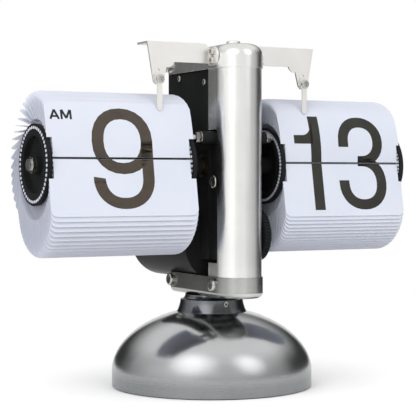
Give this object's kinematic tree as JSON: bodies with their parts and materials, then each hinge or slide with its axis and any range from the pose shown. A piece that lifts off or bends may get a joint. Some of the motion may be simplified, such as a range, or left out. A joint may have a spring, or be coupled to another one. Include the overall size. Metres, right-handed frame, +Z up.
{
  "type": "flip number clock",
  "caption": "Desk flip clock: hour and minute drums of hinged number leaves either side of a half-round steel column on a polished domed base, driven by a geared battery movement.",
  "frame": {"origin": "centre of the round base pad, on the surface the clock stands on", "axes": "+Z up, -Y towards the viewer that reads the numbers, +X towards the minute drum"},
  "size_m": [0.2028, 0.1074, 0.1719],
  "materials": {
    "chrome": "mirror-polished chrome",
    "satin_steel": "satin stainless sheet",
    "satin_nickel": "satin nickel plate",
    "screw_steel": "nickel-plated pan-head screws",
    "tool_steel": "turned steel",
    "black_plastic": "satin black moulded plastic",
    "white_leaf": "white printed plastic sheet",
    "brass": "machined brass",
    "iron": "cast ballast",
    "rubber": "non-slip pad",
    "cell_wrap": "plain wrapped battery cell",
    "board": "green circuit board"
  },
  "bodies": {
    "frame": {"base_dome": "chrome", "base_weight": "iron", "base_pad": "rubber", "neck_collar": "chrome", "collar_set_screw": "screw_steel", "tie_rod": "tool_steel", "tie_nuts": "screw_steel", "bottom_tray": "satin_steel", "top_cap": "satin_steel", "cap_button": "satin_nickel", "column_channel": "satin_steel", "front_column": "satin_steel", "frame_screws": "screw_steel", "yoke_left": "satin_nickel", "yoke_right": "satin_nickel", "yoke_screws": "screw_steel", "housing_left": "black_plastic", "housing_right": "black_plastic", "housing_screws": "screw_steel", "battery_cell": "cell_wrap", "battery_contacts": "screw_steel", "centre_plate": "brass", "circuit_board": "board", "motor": "tool_steel", "shaft_bushes": "brass", "cross_rod": "tool_steel", "cross_sleeves": "black_plastic", "cross_nuts": "screw_steel", "hour_upper_leaf": "white_leaf", "hour_standing_leaves": "white_leaf", "hour_hanging_leaves": "white_leaf", "minute_upper_leaf": "white_leaf", "minute_standing_leaves": "white_leaf", "minute_hanging_leaves": "white_leaf"},
    "hour_drum": {"hour_shaft": "tool_steel", "hour_core": "black_plastic", "hour_outer_disc": "black_plastic", "hour_inner_disc": "black_plastic", "hour_tabs": "white_leaf", "hour_nut": "screw_steel", "hour_wheel": "brass"},
    "minute_drum": {"minute_shaft": "tool_steel", "minute_core": "black_plastic", "minute_outer_disc": "black_plastic", "minute_inner_disc": "black_plastic", "minute_tabs": "white_leaf", "minute_nut": "screw_steel", "minute_pinion": "brass", "drive_wheel": "brass"},
    "motion_work": {"motion_arbor": "tool_steel", "motion_wheel": "brass"},
    "motor_rotor": {"motor_pinion": "brass"},
    "idler": {"setting_idler": "brass"},
    "setting_wheel": {"thumb_arbor": "tool_steel", "thumbwheel": "black_plastic"},
    "hour_flap": {"hour_lower_leaf": "white_leaf"},
    "minute_flap": {"minute_lower_leaf": "white_leaf"},
    "hour_detent": {"hour_finger": "satin_nickel"},
    "minute_detent": {"minute_finger": "satin_nickel"},
    "battery_door": {"battery_cover": "black_plastic"}
  },
  "joints": [
    {"name": "minute_drum_spin", "type": "hinge", "parent": "frame", "child": "minute_drum", "pos_m": [0, -0.0108, 0.1107], "axis": [1, 0, 0], "continuous": true},
    {"name": "hour_drum_spin", "type": "hinge", "parent": "frame", "child": "hour_drum", "pos_m": [0, -0.0108, 0.1107], "axis": [1, 0, 0], "continuous": true},
    {"name": "motion_work_spin", "type": "hinge", "parent": "frame", "child": "motion_work", "pos_m": [0, -0.0009, 0.1206], "axis": [1, 0, 0], "continuous": true},
    {"name": "motor_spin", "type": "hinge", "parent": "frame", "child": "motor_rotor", "pos_m": [0, -0.00116, 0.09921], "axis": [1, 0, 0], "continuous": true},
    {"name": "idler_spin", "type": "hinge", "parent": "frame", "child": "idler", "pos_m": [0, -0.01859, 0.09012], "axis": [1, 0, 0], "continuous": true},
    {"name": "setting_wheel_spin", "type": "hinge", "parent": "frame", "child": "setting_wheel", "pos_m": [0, -0.0208, 0.0763], "axis": [1, 0, 0], "continuous": true},
    {"name": "hour_leaf_flip", "type": "hinge", "parent": "frame", "child": "hour_flap", "pos_m": [-0.0618, -0.0281, 0.11258], "axis": [-1, 0, 0], "range_deg": [0, 160]},
    {"name": "minute_leaf_flip", "type": "hinge", "parent": "frame", "child": "minute_flap", "pos_m": [0.0618, -0.02819, 0.11119], "axis": [-1, 0, 0], "range_deg": [0, 160]},
    {"name": "hour_finger_turn", "type": "hinge", "parent": "frame", "child": "hour_detent", "pos_m": [-0.0406, -0.0231, 0.152], "axis": [0, 1, 0], "range_deg": [-20, 20]},
    {"name": "minute_finger_turn", "type": "hinge", "parent": "frame", "child": "minute_detent", "pos_m": [0.0406, -0.0231, 0.152], "axis": [0, 1, 0], "range_deg": [-20, 20]},
    {"name": "battery_cover_pull", "type": "slide", "parent": "frame", "child": "battery_door", "axis": [0, 1, 0], "range_m": [0, 0.025]}
  ],
  "couplings": [
    {"joint": "hour_drum_spin", "follows": "minute_drum_spin", "ratio": 0.041667},
    {"joint": "motion_work_spin", "follows": "minute_drum_spin", "ratio": -0.25},
    {"joint": "motor_spin", "follows": "minute_drum_spin", "ratio": -5},
    {"joint": "idler_spin", "follows": "minute_drum_spin", "ratio": -1.3158},
    {"joint": "setting_wheel_spin", "follows": "minute_drum_spin", "ratio": 2.7778}
  ]
}
